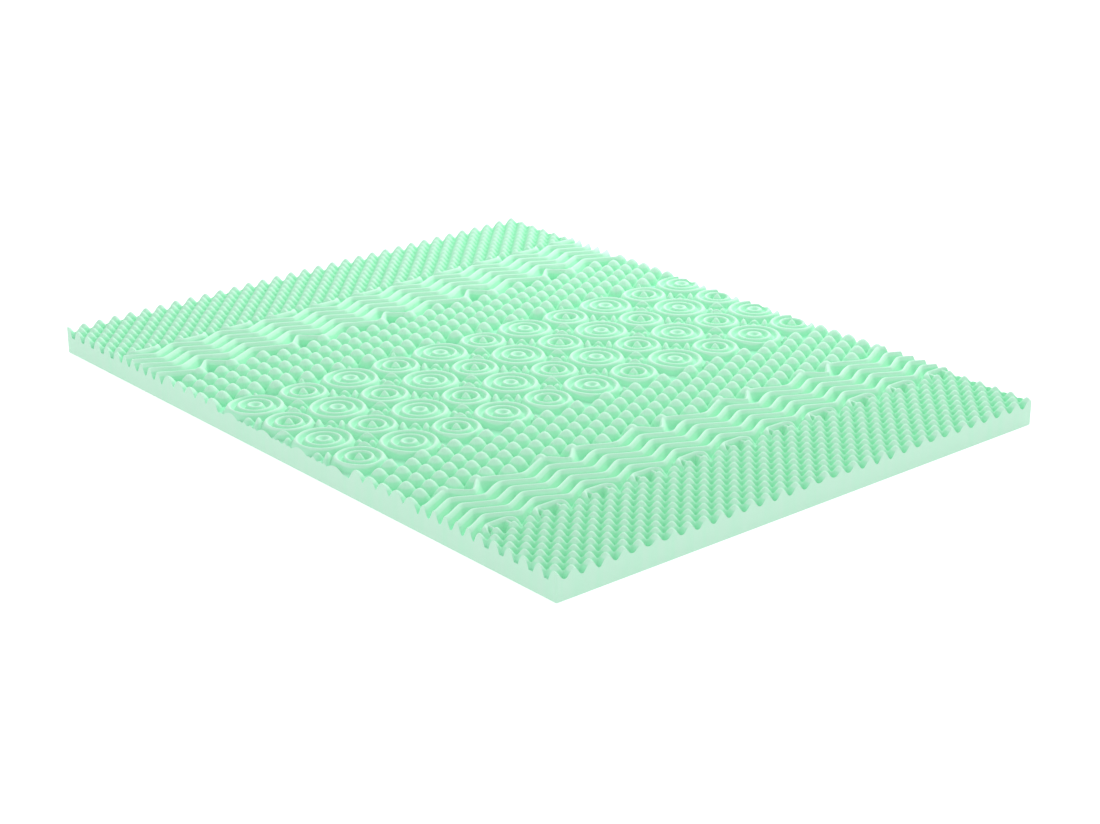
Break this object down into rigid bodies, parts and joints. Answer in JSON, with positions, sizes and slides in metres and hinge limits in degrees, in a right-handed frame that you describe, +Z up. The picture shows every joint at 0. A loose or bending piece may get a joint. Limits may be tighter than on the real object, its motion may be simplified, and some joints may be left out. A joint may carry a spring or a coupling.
{
  "type": "mattress topper",
  "caption": "Flat rectangular mint-green foam slab whose top is cut in bands of pointed peaks, zigzag waves, rounded domes and rings.",
  "frame": {"origin": "centre of the flat underside, on the surface the topper rests on", "axes": "+X across the width, +Y along the length, +Z up through the thickness, relief side up"},
  "size_m": [1.548, 2.008, 0.077],
  "materials": {
    "mint_foam": "matte open-cell foam, pale mint green"
  },
  "bodies": {
    "root": {"foam_topper": "mint_foam"}
  },
  "joints": []
}
